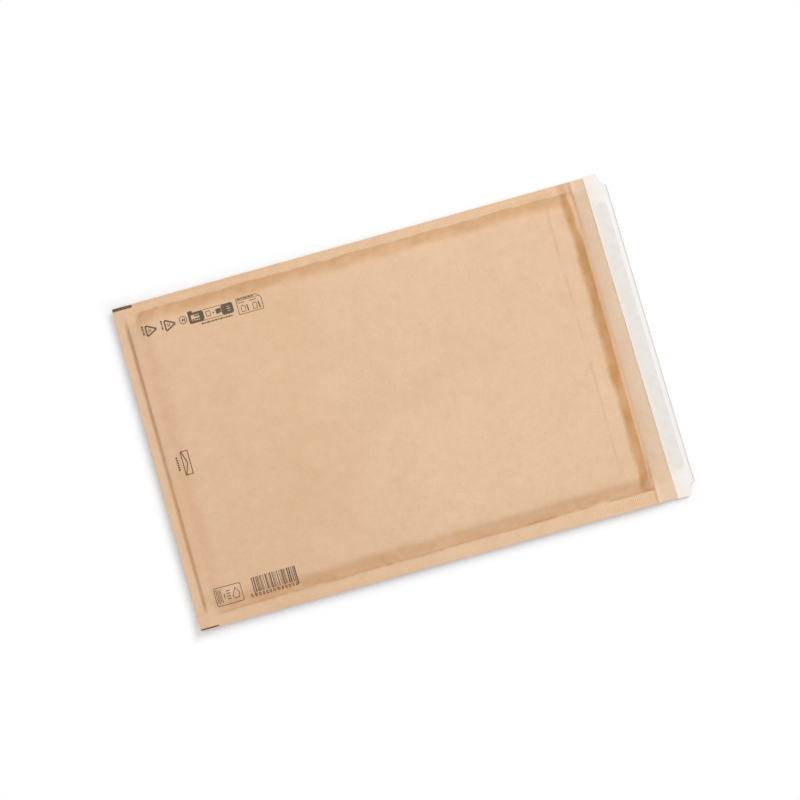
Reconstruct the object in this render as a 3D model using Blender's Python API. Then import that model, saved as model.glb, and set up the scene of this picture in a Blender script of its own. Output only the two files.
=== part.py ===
"""Padded mailer: a folded kraft paper bag lined with bubble film, lying empty on its back panel.

X runs from the fold to the flap, Y across the bag and +Z up through the front panel.
The origin is at the middle of the whole outline, on the surface that the bag lies on.
The front panel is one height field, and the lining and the pocket take their forms from it.
"""
import math

import bmesh
import bpy

# Outer sizes of the paper bag, in metres.
BODY_WIDTH = 0.320
BODY_LENGTH = 0.455
FLAP_SHORT = 0.0340
FLAP_LONG = 0.0396

# Thickness of each layer, and the clearance between layers that touch.
PAPER = 0.0003
FILM = 0.0025
ADHESIVE = 0.00015
LINER = 0.00025
CLEARANCE = 0.0003

# Flat margins where the two panels are joined.
FOLD_MARGIN = 0.0092
UPPER_SEAM = 0.0087
LOWER_SEAM_AT_FOLD = 0.0111
LOWER_SEAM_AT_MOUTH = 0.0139

# Padding: free height of the pocket at its shoulders, extra height in the middle,
# and the widths of the slopes that lead up to it.
POCKET_HEIGHT = 0.0044
CROWN = 0.0026
CROWN_RUN = 0.170
SEAM_SLOPE = 0.0170
FOLD_SLOPE = 0.0280
FOLD_CREASE = 0.0030
CREASE_SHARE = 0.20

# Back panel: how far the margins stand off the table, and the width of that rise.
UPPER_LIFT = 0.0012
LOWER_LIFT = 0.0040
FOLD_LIFT = 0.0036
UNDER_SLOPE = 0.0140
FLAP_SETTLE = 0.75

# Mouth: gape above the lower film, slope of the front panel, lip and end of the film.
MOUTH_GAPE = 0.0044
MOUTH_SLOPE = 0.0100
MOUTH_LIP = 0.0033
LIP_REACH = 0.0450
LIP_POWER = 14
FILM_SETBACK = 0.0125

# Puckers along the side seams, as (height, length, phase) of each wave.
UPPER_WAVES = ((0.00030, 0.083, 0.4), (0.00022, 0.037, 1.9))
LOWER_WAVES = ((0.00032, 0.097, 2.6), (0.00022, 0.041, 0.7))
PUCKER_DEPTH = 0.0005
PUCKER_LENGTH = 0.052
PUCKER_CENTRE = 0.0090
PUCKER_FALLOFF = 6.0
UPPER_PHASE = 0.0
LOWER_PHASE = 2.0
WAVE_FADE = 0.030

# Closure strip on the flap, with the punched corners.
LINER_WIDTH = 0.0200
LINER_PROUD = 0.0008
ADHESIVE_WIDTH = 0.0105
ADHESIVE_SETBACK = 0.0260
NOTCH_LENGTH = 0.0070
NOTCH_WIDTH = 0.0115

# Insets of the mesh lines inside the seam lines: the paper's pocket, the film's outer edge
# and the film's own hollow start at three of them.
POCKET_INSET = 0.0008
LINING_INSET = 0.0020
RIM_MIDDLE = 0.0033
HOLLOW_INSET = 0.0048
SHOULDER_FOOT = 0.0073
SHOULDER_TOP = 0.0100

# Share of the free height that each ply of film takes where it is thin.
FILM_SHARE = 0.46

# Mesh spacing.
PANEL_STEP = 0.0130
CENTRE_SPANS = 8
MOUTH_SHARES = (1.0, 0.75, 0.5, 0.25)
FLAP_SHARES = (0.0, 0.5, 1.0)
MOUTH_STEP = 0.0002
PUNCH_SIDES = 48
PUNCH_DEPTH = 0.020
FLAT_ANGLE = math.radians(0.01)
SMOOTH_ANGLE = math.radians(35)

# Colours and roughness of the finishes.
KRAFT_COLOUR = (0.76, 0.53, 0.33)
FILM_COLOUR = (0.86, 0.88, 0.90)
ADHESIVE_COLOUR = (0.80, 0.78, 0.72)
LINER_COLOUR = (0.86, 0.82, 0.79)
KRAFT_ROUGHNESS = 0.85
FILM_ROUGHNESS = 0.35
ADHESIVE_ROUGHNESS = 0.30
LINER_ROUGHNESS = 0.45

TOTAL_LENGTH = BODY_LENGTH + max(FLAP_SHORT, FLAP_LONG)
FOLD_X = -TOTAL_LENGTH / 2
SHOULDER = 2 * (PAPER + CLEARANCE + FILM) + POCKET_HEIGHT
LIP_RISE = CLEARANCE + FILM + MOUTH_GAPE

COLLECTION = "padded_mailer"
CUTTERS = "cutters"


def clamp(value):
    return min(1.0, max(0.0, value))


def swell(distance, width):
    """Rises steeply from 0 and eases into 1 after the given width."""
    return math.sin(0.5 * math.pi * clamp(distance / width))


def fall(distance, width):
    """Falls smoothly from 1 to 0 over the given width."""
    return 0.5 + 0.5 * math.cos(math.pi * clamp(distance / width))


def wave_sum(along, waves):
    ends = swell(along, WAVE_FADE) * swell(BODY_LENGTH - along, WAVE_FADE)
    return ends * sum(size * math.sin(2 * math.pi * along / length + phase)
                      for size, length, phase in waves)


def upper_seam_line(along):
    """Y of the inner edge of the upper side seam, at a distance from the fold."""
    return BODY_WIDTH / 2 - UPPER_SEAM - wave_sum(along, UPPER_WAVES)


def lower_seam_line(along):
    """Y of the inner edge of the lower side seam, which widens towards the mouth."""
    share = clamp(along / BODY_LENGTH)
    margin = LOWER_SEAM_AT_FOLD + share * (LOWER_SEAM_AT_MOUTH - LOWER_SEAM_AT_FOLD)
    return -BODY_WIDTH / 2 + margin + wave_sum(along, LOWER_WAVES)


def flap_length(y):
    """Length of the flap at a place across it: its end is cut slightly askew."""
    share = 0.5 - y / BODY_WIDTH
    return FLAP_SHORT + share * (FLAP_LONG - FLAP_SHORT)


def back_height(along, y):
    """Underside of the back panel and flap, above the table."""
    seam = min(along, BODY_LENGTH)
    above = UPPER_LIFT * fall(upper_seam_line(seam) - y, UNDER_SLOPE)
    below = LOWER_LIFT * fall(y - lower_seam_line(seam), UNDER_SLOPE)
    end = FOLD_LIFT * fall(along - FOLD_MARGIN, UNDER_SLOPE)
    past_mouth = clamp((along - BODY_LENGTH) / flap_length(y))
    return math.hypot(above + below, end) * (1 - FLAP_SETTLE * past_mouth)


def across_share(along, y):
    """-1 at the lower seam line, 0 midway and 1 at the upper seam line."""
    upper = upper_seam_line(along)
    lower = lower_seam_line(along)
    return max(-1.0, min(1.0, (2 * y - upper - lower) / (upper - lower)))


def pucker(along, inset, phase):
    """Depth of the small dips that the sealing leaves along a side seam."""
    spread = (inset - PUCKER_CENTRE) / SEAM_SLOPE
    ripple = 0.5 + 0.5 * math.sin(2 * math.pi * along / PUCKER_LENGTH + phase)
    return PUCKER_DEPTH * ripple * math.exp(-PUCKER_FALLOFF * spread * spread)


def lip_height(along, y):
    """Top of the front panel's free edge: it gapes most in the middle of the mouth."""
    arch = 1 - abs(across_share(along, y)) ** LIP_POWER
    return back_height(along, y) + 2 * PAPER + LIP_RISE * arch


def fold_rise(from_margin):
    """Rises in a short crease beside the fold margin, and then slowly to 1."""
    return (CREASE_SHARE * swell(from_margin, FOLD_CREASE)
            + (1 - CREASE_SHARE) * swell(from_margin, FOLD_SLOPE))


def front_height(along, y):
    """Outer face of the front panel."""
    above = upper_seam_line(along) - y
    below = y - lower_seam_line(along)
    back = back_height(along, y)
    rise = (swell(above, SEAM_SLOPE) * swell(below, SEAM_SLOPE)
            * fold_rise(along - FOLD_MARGIN))
    crown = CROWN * (1 - across_share(along, y) ** 2) * swell(along - FOLD_MARGIN, CROWN_RUN)
    dips = pucker(along, above, UPPER_PHASE) + pucker(along, below, LOWER_PHASE)
    height = back + 2 * PAPER + rise * (SHOULDER - 2 * PAPER + crown - dips - back)
    lip_share = 1 - clamp(min(above, below) / LIP_REACH)
    drop = clamp((BODY_LENGTH - along - lip_share * MOUTH_LIP) / MOUTH_SLOPE)
    lip = lip_height(along, y)
    return lip + drop * (height - lip)


def film_depth(along, y):
    """Thickness of one ply of the bubble film, which thins out towards its sealed edges."""
    room = front_height(along, y) - back_height(along, y) - 2 * (PAPER + CLEARANCE)
    return min(FILM, FILM_SHARE * room)


def even_steps(start, end, step):
    """Evenly spaced values from start up to end, without end itself."""
    count = max(1, round((end - start) / step))
    return [start + (end - start) * index / count for index in range(count)]


# Lines of the mesh along the bag, from the fold edge, and across it, from each seam line.
LINING_END = BODY_LENGTH - FILM_SETBACK
RIM_STEPS = [0.0, POCKET_INSET, LINING_INSET, RIM_MIDDLE, HOLLOW_INSET, SHOULDER_FOOT]
FOLD_STATIONS = [0.0] + [FOLD_MARGIN + step for step in RIM_STEPS]
PANEL_STATIONS = even_steps(FOLD_MARGIN + UNDER_SLOPE, LINING_END, PANEL_STEP)
MOUTH_STATIONS = [BODY_LENGTH - MOUTH_SLOPE * share for share in MOUTH_SHARES]
BODY_STATIONS = sorted({*FOLD_STATIONS, *PANEL_STATIONS, LINING_END, *MOUTH_STATIONS,
                        BODY_LENGTH - MOUTH_STEP})
SEAM_INSETS = sorted({*RIM_STEPS, SHOULDER_TOP, UNDER_SLOPE, SEAM_SLOPE})


def across_stations(along, edge, inset):
    """Y of the lines across the bag, from its lower side to its upper side.

    Only the lines at least the given inset inside the seam lines are kept. Where edge is
    given, it is added as the outermost line on both sides.
    """
    seam = min(along, BODY_LENGTH)
    lower = lower_seam_line(seam)
    upper = upper_seam_line(seam)
    kept = [step for step in SEAM_INSETS if step >= inset]
    start = lower + SEAM_INSETS[-1]
    end = upper - SEAM_INSETS[-1]
    middle = [start + (end - start) * index / CENTRE_SPANS for index in range(1, CENTRE_SPANS)]
    lines = [lower + step for step in kept] + middle + [upper - step for step in reversed(kept)]
    return lines if edge is None else [-edge] + lines + [edge]


def body_rows(inset, start, end, edge=None):
    """Rows of places on the body, between two distances from the fold."""
    return [[(along, y) for y in across_stations(along, edge, inset)]
            for along in BODY_STATIONS if start <= along <= end]


def flap_row(share, back_off=0.0, edge=BODY_WIDTH / 2):
    """A row of places on the flap, at a share of its length less a fixed distance."""
    return [(BODY_LENGTH + share * flap_length(y) - back_off, y)
            for y in across_stations(BODY_LENGTH, edge, 0.0)]


def collection(name):
    made = bpy.data.collections.new(name)
    bpy.context.scene.collection.children.link(made)
    return made


def slab(name, rows, bottom, top, group):
    """A closed sheet over rows of places, each (distance from the fold, Y).

    A flat grid is extruded once. Its two layers then move to the places, at the heights
    that bottom and top give, and spans that stay flat are merged.
    """
    last_row = len(rows) - 1
    last_line = len(rows[0]) - 1
    sheet = bmesh.new()
    bmesh.ops.create_grid(sheet, x_segments=last_row, y_segments=last_line, size=1.0)
    under = set(sheet.verts)
    bmesh.ops.extrude_face_region(sheet, geom=sheet.faces[:])
    for vert in sheet.verts:
        row = round((vert.co.x + 1) / 2 * last_row)
        line = round((vert.co.y + 1) / 2 * last_line)
        along, y = rows[row][line]
        height = bottom if vert in under else top
        vert.co = (FOLD_X + along, y, height(along, y))
    bmesh.ops.recalc_face_normals(sheet, faces=sheet.faces[:])
    bmesh.ops.dissolve_limit(sheet, angle_limit=FLAT_ANGLE, verts=sheet.verts[:],
                             edges=sheet.edges[:])
    mesh = bpy.data.meshes.new(name)
    sheet.to_mesh(mesh)
    sheet.free()
    made = bpy.data.objects.new(name, mesh)
    group.objects.link(made)
    return made


def punch(name, y, group):
    """The round-nosed punch that takes one corner off the flap and its liner."""
    bpy.ops.mesh.primitive_cylinder_add(vertices=PUNCH_SIDES, radius=1.0, depth=PUNCH_DEPTH)
    made = bpy.context.object
    made.name = name
    for holder in list(made.users_collection):
        holder.objects.unlink(made)
    group.objects.link(made)
    for vert in made.data.vertices:
        vert.co.x *= NOTCH_LENGTH
        vert.co.y *= NOTCH_WIDTH
    made.location = (FOLD_X + BODY_LENGTH + flap_length(y), y, 0.0)
    return made


def cut(piece, cutter):
    tool = piece.modifiers.new("cut_" + cutter.name, "BOOLEAN")
    tool.operation = "DIFFERENCE"
    tool.solver = "EXACT"
    tool.object = cutter
    cutter.hide_render = True
    cutter.display_type = "WIRE"


def finish(piece, colour, roughness):
    """Gives a piece its own material and its smooth shading."""
    look = bpy.data.materials.new(piece.name)
    look.use_nodes = True
    shader = look.node_tree.nodes["Principled BSDF"]
    shader.inputs["Base Color"].default_value = (*colour, 1.0)
    shader.inputs["Roughness"].default_value = roughness
    shader.inputs["Metallic"].default_value = 0.0
    piece.data.materials.append(look)
    piece.data.shade_smooth()
    piece.data.set_sharp_from_angle(angle=SMOOTH_ANGLE)


def make_paper_bag(parts, cutters, punches):
    """One kraft web, folded at the bottom and joined at both sides, with its flap."""
    past_lip = BODY_LENGTH - MOUTH_STEP / 2

    def outside(along, y):
        if along < past_lip:
            return front_height(along, y)
        return back_height(along, y) + PAPER

    half = BODY_WIDTH / 2
    rows = body_rows(0.0, 0.0, BODY_LENGTH, edge=half)
    rows += [flap_row(share) for share in FLAP_SHARES]
    bag = slab("paper_bag", rows, back_height, outside, parts)

    rows = body_rows(POCKET_INSET, FOLD_MARGIN + POCKET_INSET, BODY_LENGTH)
    rows.append([(BODY_LENGTH, y) for y in across_stations(BODY_LENGTH, None, POCKET_INSET)])
    pocket = slab("paper_pocket", rows, lambda along, y: back_height(along, y) + PAPER,
                  lambda along, y: front_height(along, y) - PAPER, cutters)
    cut(bag, pocket)
    for tool in punches:
        cut(bag, tool)
    finish(bag, KRAFT_COLOUR, KRAFT_ROUGHNESS)


def make_bubble_lining(parts, cutters):
    """The folded bubble film inside: a padded pouch, sealed at both sides."""
    skin = PAPER + CLEARANCE
    rows = body_rows(LINING_INSET, FOLD_MARGIN + LINING_INSET, LINING_END)
    lining = slab("bubble_lining", rows, lambda along, y: back_height(along, y) + skin,
                  lambda along, y: front_height(along, y) - skin, parts)

    rows = body_rows(HOLLOW_INSET, FOLD_MARGIN + HOLLOW_INSET, LINING_END)
    past_end = LINING_END + MOUTH_STEP
    rows.append([(past_end, y) for y in across_stations(past_end, None, HOLLOW_INSET)])
    hollow = slab("lining_pocket", rows,
                  lambda along, y: back_height(along, y) + skin + film_depth(along, y),
                  lambda along, y: front_height(along, y) - skin - film_depth(along, y), cutters)
    cut(lining, hollow)
    finish(lining, FILM_COLOUR, FILM_ROUGHNESS)


def make_adhesive_strip(parts):
    """The band of pressure-sensitive glue on the flap, under the liner."""
    centre = LINER_WIDTH / 2
    ends = BODY_WIDTH / 2 - ADHESIVE_SETBACK
    inner = [y for y in across_stations(BODY_LENGTH, None, 0.0) if abs(y) < ends]
    rows = [[(BODY_LENGTH + flap_length(y) - centre + side * ADHESIVE_WIDTH / 2, y)
             for y in [-ends, *inner, ends]] for side in (-1, 1)]
    base = PAPER + CLEARANCE
    strip = slab("adhesive_strip", rows, lambda along, y: back_height(along, y) + base,
                 lambda along, y: back_height(along, y) + base + ADHESIVE, parts)
    finish(strip, ADHESIVE_COLOUR, ADHESIVE_ROUGHNESS)


def make_release_liner(parts, punches):
    """The peel-off strip over the glue, a little longer than the bag is wide."""
    edge = BODY_WIDTH / 2 + LINER_PROUD
    rows = [flap_row(1.0, LINER_WIDTH, edge), flap_row(1.0, LINER_WIDTH / 2, edge),
            flap_row(1.0, 0.0, edge)]
    base = PAPER + 2 * CLEARANCE + ADHESIVE
    liner = slab("release_liner", rows, lambda along, y: back_height(along, y) + base,
                 lambda along, y: back_height(along, y) + base + LINER, parts)
    for tool in punches:
        cut(liner, tool)
    finish(liner, LINER_COLOUR, LINER_ROUGHNESS)


def main():
    for old in list(bpy.data.objects):
        bpy.data.objects.remove(old, do_unlink=True)
    parts = collection(COLLECTION)
    cutters = collection(CUTTERS)
    punches = [punch("upper_punch", BODY_WIDTH / 2, cutters),
               punch("lower_punch", -BODY_WIDTH / 2, cutters)]
    make_paper_bag(parts, cutters, punches)
    make_bubble_lining(parts, cutters)
    make_adhesive_strip(parts)
    make_release_liner(parts, punches)


main()
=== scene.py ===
"""The looks of a padded mailing envelope of brown kraft paper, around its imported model.

The paper, bubble film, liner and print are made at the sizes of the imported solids. A place on
the bag is given by its distance from the fold, called along, and by its Y in the model's frame.
Lengths are in metres, except in the print and where a comment says millimetres.
"""
import math

import bmesh
import bpy
import numpy as np
from bpy.props import FloatProperty, FloatVectorProperty, IntProperty, PointerProperty
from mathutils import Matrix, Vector
from mathutils.bvhtree import BVHTree


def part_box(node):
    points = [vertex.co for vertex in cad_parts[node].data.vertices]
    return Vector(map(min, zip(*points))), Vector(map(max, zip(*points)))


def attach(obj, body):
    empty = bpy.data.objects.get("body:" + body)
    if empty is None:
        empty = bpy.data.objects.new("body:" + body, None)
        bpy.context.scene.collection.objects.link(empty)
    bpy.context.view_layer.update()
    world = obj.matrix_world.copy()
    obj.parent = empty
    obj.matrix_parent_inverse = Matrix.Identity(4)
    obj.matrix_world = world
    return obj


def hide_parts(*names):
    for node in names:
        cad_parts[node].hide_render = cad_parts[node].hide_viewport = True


bl_info = {
    "name": "Padded mailer",
    "version": (1, 0, 0),
    "blender": (4, 5, 0),
    "location": "View3D > Sidebar > Mailer",
    "description": "Builds the paper, bubble film, closure strip and print of a padded mailer",
    "category": "Object",
}

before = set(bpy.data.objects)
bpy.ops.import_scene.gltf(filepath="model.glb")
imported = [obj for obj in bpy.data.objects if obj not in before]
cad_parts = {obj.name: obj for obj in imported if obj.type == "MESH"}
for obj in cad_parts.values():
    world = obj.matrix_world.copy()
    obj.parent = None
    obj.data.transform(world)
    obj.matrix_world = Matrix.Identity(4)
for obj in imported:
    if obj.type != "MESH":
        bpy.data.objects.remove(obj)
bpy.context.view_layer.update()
BAG_LOW, BAG_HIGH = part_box("paper_bag")
FOLD_X = BAG_LOW.x
HALF_WIDTH = (BAG_HIGH.y - BAG_LOW.y) / 2
MM = 0.001
WHITE = (1.0, 1.0, 1.0)

# Kinds of property: its maker, and what it takes besides a name, a description and a default.
LENGTH = (FloatProperty, {"min": 0.0, "precision": 5, "unit": "LENGTH"})
PLACE = (FloatProperty, {"unit": "LENGTH"})
ANGLE = (FloatProperty, {"unit": "ROTATION"})
LEVEL = (FloatProperty, {})
SHARE = (FloatProperty, {"min": 0.0, "max": 1.0})
WHOLE = (IntProperty, {})
COLOUR = (FloatVectorProperty, {"size": 3, "min": 0.0, "max": 1.2, "subtype": "COLOR"})


def properties(kind, **rows):
    """Properties by name: each row gives a default, a description and, if it differs, a kind."""
    made = {}
    for key, (default, text, *other) in rows.items():
        make, more = other[0] if other else kind
        made[key] = make(name=key.replace("_", " ").capitalize(), description=text,
                         default=default, **more)
    return made


class BagSizes(bpy.types.PropertyGroup):
    """Sizes of the paper bag: as packed, but for a slightly narrower crease at the fold"""
    __annotations__ = properties(
        LENGTH,
        body_length=(0.455, "From the fold to the free edge of the front panel"),
        flap_short=(0.0340, "Length of the flap at the upper side"),
        paper=(0.0003, "Thickness of the kraft paper"),
        film=(0.0025, "Thickness of one ply of bubble film"),
        clearance=(0.0003, "Gap between layers that touch"),
        fold_margin=(0.0092, "Flat paper between the fold and the padding"),
        upper_seam=(0.0087, "Width of the upper side seam"),
        lower_at_fold=(0.0111, "Width of the lower side seam at the fold"),
        lower_at_mouth=(0.0139, "Width of the lower side seam at the mouth"),
        pocket_height=(0.0044, "Free height at the shoulders"),
        crown=(0.0026, "Extra height of the padding in the middle"),
        crown_run=(0.170, "Distance over which the crown rises"),
        seam_slope=(0.0170, "Width of the slope beside a side seam"),
        fold_slope=(0.0280, "Width of the slope beside the fold margin"),
        fold_crease=(0.0024, "Width of the sharp rise at the fold margin"),
        crease_share=(0.17, "Share of the height that the crease takes", SHARE),
        upper_lift=(0.0012, "Height of the upper margin over the table"),
        lower_lift=(0.0040, "Height of the lower margin over the table"),
        fold_lift=(0.0036, "Height of the fold margin over the table"),
        under_slope=(0.0140, "Width of the rise under the margins"),
        flap_settle=(0.75, "How far the flap sinks to the table at its end", SHARE),
        mouth_gape=(0.0044, "Height of the mouth over the lower film"),
        mouth_slope=(0.0100, "Length of the slope down to the free edge"),
        mouth_lip=(0.0033, "Level lip at the corners of the mouth"),
        lip_reach=(0.0450, "How far the lip runs in from the seams"),
        lip_power=(14, "How fully the mouth gapes near its corners", WHOLE),
        film_setback=(0.0125, "From the free edge back to the end of the film"),
        film_share=(0.46, "Share of the free height that one ply may take", SHARE),
        lining_inset=(0.0020, "From a seam line to the edge of the film"),
        pocket_inset=(0.0008, "From a seam line to the edge of the pocket"),
        pucker_depth=(0.0005, "Depth of the long puckers by the seams"),
        pucker_length=(0.052, "Distance between the long puckers"),
        pucker_centre=(0.0090, "From a seam line to the deepest place of a pucker"))


class FinishSizes(bpy.types.PropertyGroup):
    """Sizes of the fine forms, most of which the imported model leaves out"""
    __annotations__ = properties(
        LENGTH,
        wrinkle_height=(0.00036, "Height of the creases by the seams"),
        wrinkle_spacing=(0.0062, "Mean distance between those creases"),
        swell_height=(0.00022, "Height of the broad waves of the panels"),
        groove_place=(0.0263, "From the free edge to the glue line's groove"),
        groove_depth=(0.00016, "Depth of that groove"),
        crimp_pitch=(0.0019, "Distance between the crimped ribs"),
        crimp_height=(0.00042, "Height of the crimped ribs"),
        pinch_place=(0.1210, "From the fold to the pinch by the lower seam"),
        pinch_length=(0.0075, "Length of that pinch along the seam"),
        pinch_depth=(0.0007, "Depth of that pinch"),
        # Painted shade: the next three size the dark band along the free edge, where the paper
        # slopes down to the mouth, and the unshaded lip past it at the corners.
        glue_width=(0.0092, "Width of the glued band at the free edge"),
        glue_fade=(0.0058, "Width over which that band fades out"),
        glue_lip=(0.0046, "Bright lip past the band at the corners"),
        bubble_pitch=(0.0115, "Distance between the bubbles of the film"),
        bubble_radius=(0.0047, "Radius of one bubble"),
        film_skin=(0.00015, "Thickness of the flat ply of the film"),
        liner_width=(0.0200, "Width of the peel-off strip"),
        liner_proud=(0.0008, "How far the strip stands out at each side"),
        liner=(0.00012, "Thickness of the peel-off strip"),
        liner_float=(0.00005, "From the flap up to the strip's edges"),
        adhesive=(0.00015, "Thickness of the glue band"),
        adhesive_width=(0.0105, "Width of the glue band"),
        adhesive_setback=(0.0260, "From a side to the end of the glue band"),
        notch_length=(0.0070, "Depth of the punched corners"),
        notch_width=(0.0115, "Width of the punched corners"),
        ink=(0.00012, "Height of the print over the paper"),
        seed=(11, "Start of the random draws", WHOLE))


class MailerColours(bpy.types.PropertyGroup):
    """Colours of the finishes, and tints that they are multiplied by"""
    __annotations__ = properties(
        COLOUR,
        kraft=((0.770, 0.526, 0.340), "Outer face of the paper"),
        kraft_inside=((0.768, 0.560, 0.391), "Inner face of the paper"),
        by_fold=((0.975, 0.925, 0.885), "Tint of the half of the panel by the fold"),
        # Painted light on the slope beside the fold, which the side lamp leaves in shade.
        fold_slope=((1.08, 1.02, 1.00), "Tint of the slope beside the fold"),
        # Painted shade: slopes take the next two tints as far as they tilt, the first by the
        # lower seam.
        lower_crease=((0.92, 0.72, 0.52), "Tint of the slopes by the lower seam"),
        crease=((0.79, 0.69, 0.57), "Tint of all other slopes"),
        # Painted shade of the slope down to the free edge.
        glued=((0.680, 0.535, 0.345), "Tint of the glued band at the free edge"),
        crimps=((0.800, 0.555, 0.350), "Crimped ribs of the seams"),
        film=((0.86, 0.88, 0.90), "Bubble film"),
        adhesive=((0.80, 0.78, 0.72), "Glue band"),
        liner=((0.882, 0.812, 0.745), "Peel-off strip"),
        liner_outer=((0.880, 0.845, 0.815), "Its half by the free end"),
        liner_band=((0.822, 0.776, 0.735), "Its part over the glue band"),
        ink=((0.088, 0.062, 0.046), "Print on the front panel"),
        floor=((0.99, 0.99, 0.99), "Floor under the mailer"))


class StageSettings(bpy.types.PropertyGroup):
    """Camera and lights"""
    __annotations__ = properties(
        LENGTH,
        view_width=(0.7664, "Width of the view at the mailer"),
        view_x=(-0.0044, "X of the middle of the view", PLACE),
        view_y=(0.0022, "Y of the middle of the view", PLACE),
        view_turn=(math.radians(-15.6), "Turn of the camera about Z", ANGLE),
        lens=(100.0, "Focal length in millimetres", LEVEL),
        sky=(0.64, "Level of light from all round", LEVEL),
        overhead=(12.0, "Power of the top lamp in watts", LEVEL),
        side=(53.0, "Power of the side lamp in watts", LEVEL))


GROUPS = {"bag_sizes": BagSizes, "finish_sizes": FinishSizes, "mailer_colours": MailerColours,
          "stage_settings": StageSettings}


class Settings:
    """Reads the present values of one group of the scene's settings."""

    def __init__(self, group):
        self.group = group

    def __getattr__(self, key):
        return getattr(getattr(bpy.context.scene, self.group), key)


size, fine, tone, stage = (Settings(group) for group in GROUPS)

# Waves of the side seams, as (height, length, phase) of each, and the start of their puckers.
UPPER_WAVES = ((0.00030, 0.083, 0.4), (0.00022, 0.037, 1.9))
LOWER_WAVES = ((0.00032, 0.097, 2.6), (0.00022, 0.041, 0.7))
WAVE_FADE = 0.030
UPPER_PHASE = 0.0
LOWER_PHASE = 2.0
PUCKER_FOCUS = 6.0

# Random creases: width, reach and ease in millimetres, height as a share of wrinkle_height, and
# spread as a share of half the bag's width.
SEAM_CREASES = {"width": (1.8, 5.0), "reach": (8.0, 26.0), "lean": (-0.7, 0.7),
                "height": (-1.0, 0.8), "ease": 2.5}
FOLD_CREASES = {"width": (3.0, 7.0), "reach": (8.0, 30.0), "height": (-1.0, 0.7), "ease": 2.0,
                "spread": 0.92, "count": 34}
# From the fold and from the free edge to the first and last seam crease, the lengths of the
# panels' broad waves, and the strip by the free edge and the seams that stays level.
CREASES_START = 0.012
CREASES_STOP = 0.016
PANEL_WAVES = (0.062, 0.083, 0.110, 0.140, 0.190)
LEVEL_LIP = 0.004


def clamp(value):
    return np.clip(value, 0.0, 1.0)


def swell(distance, width):
    """Rises steeply from 0 and eases into 1 after the given width."""
    return np.sin(0.5 * np.pi * clamp(distance / width))


def fall(distance, width):
    """Falls smoothly from 1 to 0 over the given width."""
    return 0.5 + 0.5 * np.cos(np.pi * clamp(distance / width))


def wave_sum(along, waves):
    ends = swell(along, WAVE_FADE) * swell(size.body_length - along, WAVE_FADE)
    return ends * sum(height * np.sin(2 * np.pi * along / step + phase)
                      for height, step, phase in waves)


def upper_seam_line(along):
    """Y of the inner edge of the upper side seam."""
    return HALF_WIDTH - size.upper_seam - wave_sum(along, UPPER_WAVES)


def lower_seam_line(along):
    """Y of the inner edge of the lower side seam, which widens towards the mouth."""
    widening = clamp(along / size.body_length) * (size.lower_at_mouth - size.lower_at_fold)
    return -HALF_WIDTH + size.lower_at_fold + widening + wave_sum(along, LOWER_WAVES)


def flap_length(y):
    """Length of the flap at a place across it: its end is cut slightly askew."""
    flap_long = BAG_HIGH.x - FOLD_X - size.body_length
    return size.flap_short + (0.5 - y / (2 * HALF_WIDTH)) * (flap_long - size.flap_short)


def flap_end(y):
    """Length of the flap less its punched corners."""
    from_side = np.abs(HALF_WIDTH - np.abs(y))
    bite = np.sqrt(1.0 - clamp(from_side / fine.notch_width) ** 2)
    return flap_length(y) - fine.notch_length * bite


def seam_insets(along, y):
    """Distances in from the upper and from the lower seam line."""
    seam = np.minimum(along, size.body_length)
    return upper_seam_line(seam) - y, y - lower_seam_line(seam)


def back_height(along, y):
    """Underside of the back panel and flap, above the table."""
    above, below = seam_insets(along, y)
    side = (size.upper_lift * fall(above, size.under_slope)
            + size.lower_lift * fall(below, size.under_slope))
    end = size.fold_lift * fall(along - size.fold_margin, size.under_slope)
    past_mouth = clamp((along - size.body_length) / flap_length(y))
    return np.hypot(side, end) * (1 - size.flap_settle * past_mouth)


def across_share(along, y):
    """-1 at the lower seam line, 0 midway and 1 at the upper seam line."""
    upper = upper_seam_line(along)
    lower = lower_seam_line(along)
    return np.clip((2 * y - upper - lower) / (upper - lower), -1.0, 1.0)


def pucker(along, inset, phase):
    """Depth of the long dips that the sealing leaves along a side seam."""
    spread = (inset - size.pucker_centre) / size.seam_slope
    ripple = 0.5 + 0.5 * np.sin(2 * np.pi * along / size.pucker_length + phase)
    return size.pucker_depth * ripple * np.exp(-PUCKER_FOCUS * spread * spread)


def fold_rise(from_margin):
    """Rises in a short crease beside the fold margin, and then slowly to 1."""
    return (size.crease_share * swell(from_margin, size.fold_crease)
            + (1 - size.crease_share) * swell(from_margin, size.fold_slope))


def front_height(along, y):
    """Outer face of the front panel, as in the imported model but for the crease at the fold."""
    above, below = seam_insets(along, y)
    back = back_height(along, y)
    across = across_share(along, y)
    rise = (swell(above, size.seam_slope) * swell(below, size.seam_slope)
            * fold_rise(along - size.fold_margin))
    crown = size.crown * (1 - across ** 2) * swell(along - size.fold_margin, size.crown_run)
    dips = pucker(along, above, UPPER_PHASE) + pucker(along, below, LOWER_PHASE)
    shoulder = 2 * (size.clearance + size.film) + size.pocket_height
    height = back + 2 * size.paper + rise * (shoulder + crown - dips - back)
    lip_share = 1 - clamp(np.minimum(above, below) / size.lip_reach)
    drop = clamp((size.body_length - along - lip_share * size.mouth_lip) / size.mouth_slope)
    gape = size.clearance + size.film + size.mouth_gape
    lip = back + 2 * size.paper + gape * (1 - np.abs(across) ** size.lip_power)
    return lip + drop * (height - lip)


def one_crease(draw, ranges, inset, off_line):
    """One crease: off_line gives how far each place lies from it, by its lean."""
    width = draw.uniform(*ranges["width"]) * MM
    reach = draw.uniform(*ranges["reach"]) * MM
    lean = draw.uniform(*ranges["lean"]) if "lean" in ranges else 0.0
    height = fine.wrinkle_height * draw.uniform(*ranges["height"])
    ridge = np.exp(-(off_line(lean) / width) ** 2)
    return height * ridge * swell(inset, ranges["ease"] * MM) * fall(inset, reach)


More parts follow.
